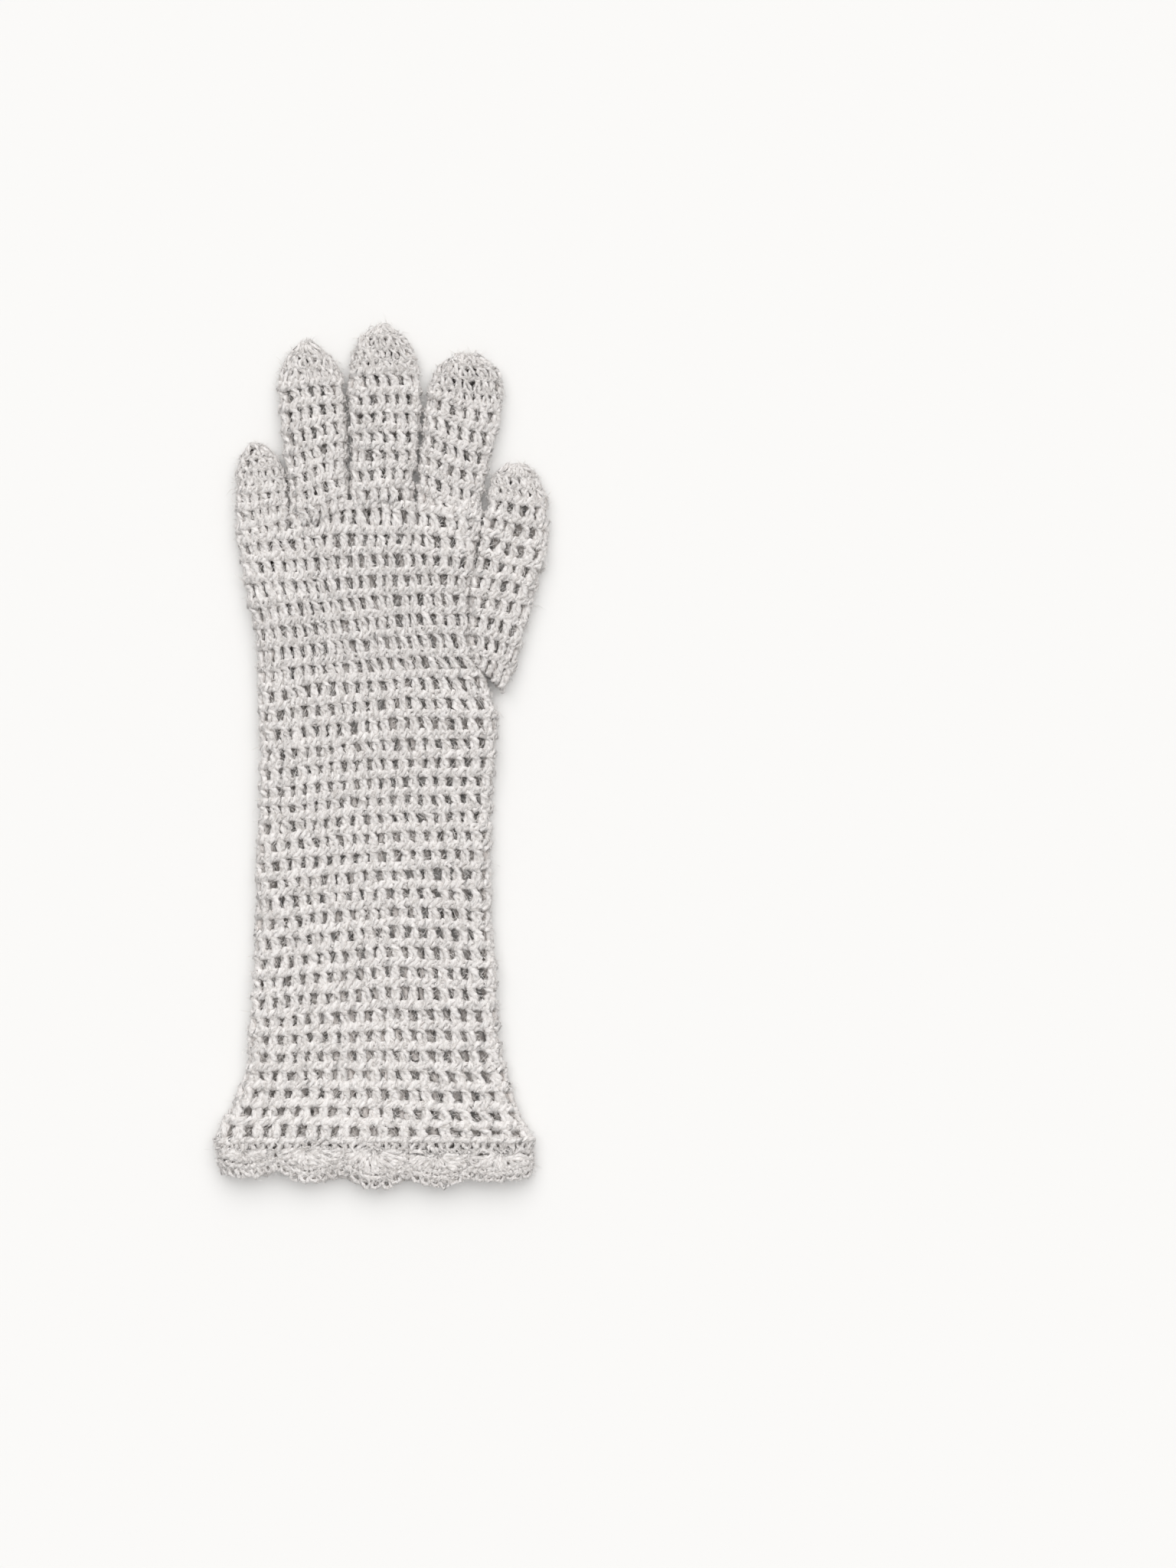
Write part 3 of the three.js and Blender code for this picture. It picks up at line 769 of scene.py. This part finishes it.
PETALS = 10
PETAL_SPREAD = math.radians(84)
PETAL_START = np.array([0.0, 1.2])  # across and down from the middle of a shell
ROPE_WIDTH = 2.2
LOOP_SIZE = 4.6
RIM = ROPE_WIDTH + LOOP_SIZE  # from the rope around a shell's petals to the tips of its small loops
SHELL_GAP = 0.4  # between the petals of a shell and its side


def petal_end(angle, half, shell):
    """Where a petal that leaves the middle of a shell at an angle meets the rope."""
    for reach in np.arange(1, 30, 0.1):
        across, down = reach * math.sin(angle), reach * math.cos(angle)
        within = np.clip(0.5 + across / half / 2, 0, 1)
        if abs(across) > half - SHELL_GAP or down > shell_depth(within, *shell) - RIM:
            break
    return across, down


def petal_ends(half, shell):
    """Evenly spaced ends of the petals of a shell, across from its middle and down."""
    line = np.array([petal_end(angle, half, shell) for angle in np.linspace(-PETAL_SPREAD, PETAL_SPREAD, 61)])
    gone = gone_along(line)
    even = np.linspace(0, gone[-1], PETALS)
    return np.column_stack([np.interp(even, gone, line[:, k]) for k in (0, 1)])


def lay_path(tube, cell, path, out):
    """Puts a strand of a shell on the cuff. path: across from the shell's middle, down from its upper line."""
    across, down = path.T[:, None]
    return lay(tube, cell, across, down, out)


# Points of a petal's strand: share of the petal's length, millimetres beside its middle, millimetres out of the
# fabric, and radius as a share of YARN
PETAL_STRAND = np.array([
    (0.04, 0.25, -0.2, 0.85), (0.3, 0.6, 0.3, 1.05), (0.6, 0.9, 0.35, 1.2), (0.85, 0.9, 0.2, 1.2),
    (1.05, 0.5, -0.2, 1.0),
])
PETAL_OUT = ((-1, 0.3), (1, 0.45))  # side of each strand, and how far out of the fabric it lies
PETAL_STRAY = 0.45


def petals(tube, cell, yarn, ends):
    """Two strands side by side for each petal, from the middle of the shell to the rope."""
    share, width, lift, radius = PETAL_STRAND.T
    for end in ends:
        reach = np.linalg.norm(end - PETAL_START)
        way = (end - PETAL_START) / reach
        beside = np.array([way[1], -way[0]])
        for side, out in PETAL_OUT:
            path = PETAL_START + way * reach * share[:, None] + beside * (width * side)[:, None]
            path = path + rng.normal(size=path.shape) * PETAL_STRAY
            yarn.add(lay_path(tube, cell, path, out + lift), YARN * radius)


ROPE_YARN = YARN * 1.05
ROPE_SWING = 0.75  # how far its strands swing to either side
ROPE_OUTWARD = 0.4  # how far outside its line it lies
ROPE_OUT = 0.35  # how far out of the fabric it lies
ROPE_DEPTH = 0.5  # how far its strands swing in and out there


def rope(tube, cell, yarn, start, step, outward):
    """Two strands that twist around each other along one stretch of a rope."""
    s = np.linspace(-0.12, 1.12, 5)  # runs a little into the next stretches
    for phase in (0, math.pi):
        swing = ROPE_SWING * np.sin(2 * math.pi * s + phase) + ROPE_OUTWARD
        path = start + step * s[:, None] + outward * swing[:, None]
        path = path + rng.normal(size=path.shape) * 0.12
        lift = ROPE_OUT + ROPE_DEPTH * np.cos(2 * math.pi * s + phase)
        yarn.add(lay_path(tube, cell, path, lift), ROPE_YARN)


# A small loop outside the ropes, and a strand inside it: share of the stretch of rope below it, and of its size
LOOP = np.array([(0.25, 0.1), (0.0, 0.4), (0.12, 0.72), (0.5, 0.84), (0.88, 0.72), (1.0, 0.4), (0.75, 0.1)])
LOOP_CORE = np.array([(0.1, 0.15), (0.5, 0.42), (0.9, 0.15)])
# These two with how far out of the fabric they lie, and their radius as a share of YARN
LOOP_STRANDS = ((LOOP, 0.35, 0.92), (LOOP_CORE, 0.0, 0.85))


def small_loop(tube, cell, yarn, start, step, outward):
    """One loop outside a stretch of rope."""
    size = LOOP_SIZE * rng.uniform(0.8, 1.0)
    for shape, lift, radius in LOOP_STRANDS:
        stray = rng.normal(size=shape.shape) * 0.2
        path = start + step * shape[:, :1] + outward * shape[:, 1:] * size + stray
        yarn.add(lay_path(tube, cell, path, lift), YARN * radius)


def shell(tube, cell, yarn, half, size):
    """One shell: petals that spread from one point, a rope around them, another below that, and small loops."""
    inner = petal_ends(half, size)
    petals(tube, cell, yarn, inner)
    tangent = unit(np.gradient(inner, axis=0))
    outer = inner + np.column_stack([-tangent[:, 1], tangent[:, 0]]) * ROPE_WIDTH
    for line in (inner, outer):
        for start, end in zip(line[:-1], line[1:]):
            step = end - start
            outward = np.array([-step[1], step[0]]) / np.linalg.norm(step)
            faces_down = abs(step[1]) < 2 * abs(step[0])
            if line is inner or faces_down:
                rope(tube, cell, yarn, start, step, outward)
            if line is outer and faces_down:
                small_loop(tube, cell, yarn, start, step, outward)


CLOSE_ROUND_COLUMNS = 72
UPPER_BAND_COLUMNS = 40


def close_round_piece(tube, end):
    """The close round, and the band that joins it to the open mesh. end: share of the tube where it ends."""
    yarn = Yarn()
    cells = cells_of(tube, 0, end, 1, CLOSE_ROUND_COLUMNS)
    band(tube, cells_of(tube, -end, 0, 1, UPPER_BAND_COLUMNS), yarn, swing=1.0)
    close_stitches(tube, cells, yarn)
    return yarn_piece("close_round_stitches", yarn)


def shell_edging_piece(tube, start):
    """The shells on both layers. start: share of the tube where they start."""
    yarn = Yarn()
    girth = tube.girth_at(start)
    half = girth / len(SHELL_DEPTHS) / 4
    for number, depth in enumerate(SHELL_DEPTHS):
        notch, next_notch = NOTCHES[number:number + 2]
        middle = (number + 0.5) / len(SHELL_DEPTHS) / 2
        for u in (middle, 1 - middle):  # on the top layer and on the lower one
            cell = {"u": np.array([u]), "v": np.array([start]), "girth": np.array([girth])}
            size = (notch, depth, next_notch) if u < 0.5 else (next_notch, depth, notch)
            shell(tube, cell, yarn, half, size)
    return yarn_piece("shell_edging_stitches", yarn)


def cuff_pieces():
    """The close round below the open mesh, and the shells below that."""
    tube = Tube(straight_rows(CUFF_ROWS, CUFF_HEIGHT))
    top, bottom = CUFF_ROWS[0][0], CUFF_ROWS[-1][0]
    start = (CLOSE_ROUND_END - top) / (bottom - top)
    return close_round_piece(tube, start), shell_edging_piece(tube, start)


def node(tree, kind, **settings):
    made = tree.nodes.new(kind)
    for key, value in settings.items():
        setattr(made, key, value)
    return made


def fibre_streaks(tree, mapped, scale, detail):
    """Noise drawn out along the yarn."""
    stretch = node(tree, "ShaderNodeMapping")
    stretch.inputs["Scale"].default_value = scale
    tree.links.new(mapped, stretch.inputs[0])
    noise = node(tree, "ShaderNodeTexNoise")
    noise.inputs["Scale"].default_value = 1.0
    noise.inputs["Detail"].default_value = detail
    tree.links.new(stretch.outputs[0], noise.inputs["Vector"])
    return noise.outputs[0]


def maths(tree, operation, first, second=None, third=None):
    """A Math node on sockets or numbers."""
    made = node(tree, "ShaderNodeMath", operation=operation)
    for socket, value in zip(made.inputs, (first, second, third)):
        if isinstance(value, (int, float)):
            socket.default_value = value
        elif value is not None:
            tree.links.new(value, socket)
    return made.outputs[0]


# Colours of the wool: a place on each ramp, and the colour there
YARN_COLOURS = ((0.46, (0.543, 0.504, 0.473, 1)), (0.7, (0.965, 0.931, 0.909, 1)))
FIBRE_COLOURS = ((0.0, (0.76, 0.715, 0.67, 1)), (0.4, (0.98, 0.945, 0.918, 1)))
PAINTED_LIGHT_COLOUR = (1.0, 0.94, 0.9, 1)  # painted light: paler and warmer where a strand faces the inside of the fabric, standing in for light that reaches the holes
PAINTED_LIGHT_HEIGHTS = (0.2, -0.8)  # millimetres out of the fabric where that painted light starts and where it is whole
PLY_TWIST = 0.7  # radians for each millimetre, on top of the strand's own twist


def colour_ramp(tree, value, colours):
    ramp = node(tree, "ShaderNodeValToRGB")
    for element, (position, colour) in zip(ramp.color_ramp.elements, colours):
        element.position = position
        element.color = colour
    tree.links.new(value, ramp.inputs[0])
    return ramp.outputs[0]


def yarn_map(tree):
    """The yarn's own map: the angle around it, and millimetres along it."""
    uv = node(tree, "ShaderNodeUVMap", uv_map="yarn")
    split = node(tree, "ShaderNodeSeparateXYZ")
    tree.links.new(uv.outputs[0], split.inputs[0])
    return maths(tree, "MULTIPLY", split.outputs[0], 2 * math.pi), split.outputs[1]


def yarn_space(tree, angle, along):
    """A place in millimetres around and along the yarn."""
    join = node(tree, "ShaderNodeCombineXYZ")
    tree.links.new(maths(tree, "MULTIPLY", maths(tree, "COSINE", angle), YARN), join.inputs[0])
    tree.links.new(maths(tree, "MULTIPLY", maths(tree, "SINE", angle), YARN), join.inputs[1])
    tree.links.new(along, join.inputs[2])
    return join.outputs[0]


def ply_ridges(tree, angle, along):
    """1 on the crest of each of the two plies that wind around each other, 0 in the groove between them."""
    turn = maths(tree, "MULTIPLY_ADD", along, -PLY_TWIST, angle)
    return maths(tree, "POWER", maths(tree, "ABSOLUTE", maths(tree, "COSINE", turn)), 0.6)


def paint_light_inside(tree, colour):
    """Painted light: paler and warmer where a strand lies deep in the fabric, standing in for light that reaches
    the holes.
    """
    inner = node(tree, "ShaderNodeMapRange")
    height = node(tree, "ShaderNodeAttribute", attribute_name="height").outputs["Fac"]
    tree.links.new(height, inner.inputs["Value"])
    inner.inputs["From Min"].default_value = PAINTED_LIGHT_HEIGHTS[0]
    inner.inputs["From Max"].default_value = PAINTED_LIGHT_HEIGHTS[1]
    pale = node(tree, "ShaderNodeMix", data_type="RGBA")
    tree.links.new(inner.outputs[0], pale.inputs["Factor"])
    tree.links.new(colour, pale.inputs["A"])
    pale.inputs["B"].default_value = PAINTED_LIGHT_COLOUR
    return pale.outputs["Result"]


def set_bump(tree, shader, height):
    bump = node(tree, "ShaderNodeBump")
    bump.inputs["Strength"].default_value = 0.8
    bump.inputs["Distance"].default_value = 0.3 * MM
    tree.links.new(height, bump.inputs["Height"])
    tree.links.new(bump.outputs[0], shader.inputs["Normal"])


def wool_material(name):
    """A material with the surface of wool, and its nodes."""
    material = bpy.data.materials.new(name)
    material.use_nodes = True
    shader = material.node_tree.nodes["Principled BSDF"]
    shader.inputs["Roughness"].default_value = 0.92
    shader.inputs["Specular IOR Level"].default_value = 0.2
    shader.inputs["Sheen Weight"].default_value = 0.3
    shader.inputs["Sheen Roughness"].default_value = 0.45
    return material, material.node_tree, shader


def yarn_material():
    """Two plies of light and dark fibres that wind along the yarn, with painted shade in the grooves between the
    plies and painted light where strands lie deep in the fabric.
    """
    material, tree, shader = wool_material("wool_yarn")
    angle, along = yarn_map(tree)
    space = yarn_space(tree, angle, along)
    marl = fibre_streaks(tree, space, (0.9, 0.9, 0.3), 3)
    fibres = fibre_streaks(tree, space, (6.0, 6.0, 0.8), 2)
    plies = ply_ridges(tree, angle, along)
    tone = node(tree, "ShaderNodeAttribute", attribute_name="tone").outputs["Fac"]
    mixed = maths(tree, "MULTIPLY_ADD", fibres, 0.55, maths(tree, "MULTIPLY", marl, 0.6))
    mixed = maths(tree, "MULTIPLY_ADD", tone, 0.08, mixed)
    # painted shade: a little lighter on the ply crests and darker in the grooves between them
    mixed = maths(tree, "MULTIPLY_ADD", plies, 0.07, mixed)
    # painted light deep in the fabric, laid over the marl colour
    colour = paint_light_inside(tree, colour_ramp(tree, mixed, YARN_COLOURS))
    tree.links.new(colour, shader.inputs["Base Color"])
    set_bump(tree, shader, maths(tree, "MULTIPLY_ADD", plies, 0.3, fibres))
    return material


def fibre_material():
    """Loose fibres, each of one tone."""
    material, tree, shader = wool_material("wool_fibre")
    tone = node(tree, "ShaderNodeAttribute", attribute_name="tone").outputs["Fac"]
    tree.links.new(colour_ramp(tree, tone, FIBRE_COLOURS), shader.inputs["Base Color"])
    return material


def build_glove():
    """Makes every piece, gives it both wool materials, puts it under the root body and hides the CAD node it
    stands for.
    """
    materials = (yarn_material(), fibre_material())
    made = [(piece, "sleeve_and_palm") for piece in sleeve_pieces(sleeve_tube())]
    made += [(finger_piece(*finger), finger[0]) for finger in FINGERS]
    made += zip(cuff_pieces(), ("close_round", "shell_edging"))
    for piece, cad_node in made:
        for material in materials:
            piece.data.materials.append(material)
        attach(piece, "root")
        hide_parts(cad_node)


FLOOR_HALF = 12.0  # metres
FLOOR_COLOUR = (0.885, 0.877, 0.863, 1)
SURROUND_STRENGTH = 0.5
LIGHT_STRENGTH = 2.08
LIGHT_SIZE = 75.0  # degrees
LIGHT_TURN = (-27.0, 1.0, 0.0)  # degrees


def build_floor():
    corners = [(x * FLOOR_HALF, y * FLOOR_HALF, 0) for x, y in ((-1, -1), (1, -1), (1, 1), (-1, 1))]
    mesh = bpy.data.meshes.new("floor")
    mesh.from_pydata(corners, [], [(0, 1, 2, 3)])
    floor = put_in_scene("floor", mesh)
    paper = bpy.data.materials.new("paper")
    paper.use_nodes = True
    shader = paper.node_tree.nodes["Principled BSDF"]
    shader.inputs["Base Color"].default_value = FLOOR_COLOUR
    shader.inputs["Roughness"].default_value = 0.9
    shader.inputs["Specular IOR Level"].default_value = 0.1
    mesh.materials.append(paper)


def build_light():
    """An even pale surround, and one large soft light from beyond the fingertips."""
    scene = bpy.context.scene
    world = bpy.data.worlds.new("studio")
    scene.world = world
    world.use_nodes = True
    surround = world.node_tree.nodes["Background"]
    surround.inputs["Color"].default_value = (1.0, 1.0, 1.0, 1)
    surround.inputs["Strength"].default_value = SURROUND_STRENGTH
    lamp = bpy.data.lights.new("soft_light", "SUN")
    lamp.angle = math.radians(LIGHT_SIZE)
    lamp.energy = LIGHT_STRENGTH
    light = put_in_scene("soft_light", lamp)
    light.rotation_euler = [math.radians(turn) for turn in LIGHT_TURN]
    scene.view_settings.view_transform = "Standard"


FRAME_PIXELS = (1536, 2048)
PIXEL = 0.3  # millimetres on the floor
GLOVE_MIDDLE = (499.5, 988.5)  # pixels
CAMERA_HEIGHT = 1.6  # metres
SENSOR = 36.0  # millimetres


def build_camera():
    """Looks straight down, with the glove where it is in the photograph's frame."""
    camera = bpy.data.cameras.new("camera")
    camera.sensor_fit = "VERTICAL"
    camera.sensor_height = SENSOR
    camera.lens = SENSOR * CAMERA_HEIGHT / (FRAME_PIXELS[1] * PIXEL * MM)
    holder = put_in_scene("camera", camera)
    x = (FRAME_PIXELS[0] / 2 - GLOVE_MIDDLE[0]) * PIXEL * MM
    y = (GLOVE_MIDDLE[1] - FRAME_PIXELS[1] / 2) * PIXEL * MM
    holder.location = (x, y, CAMERA_HEIGHT)
    bpy.context.scene.camera = holder


build_glove()
build_floor()
build_light()
build_camera()
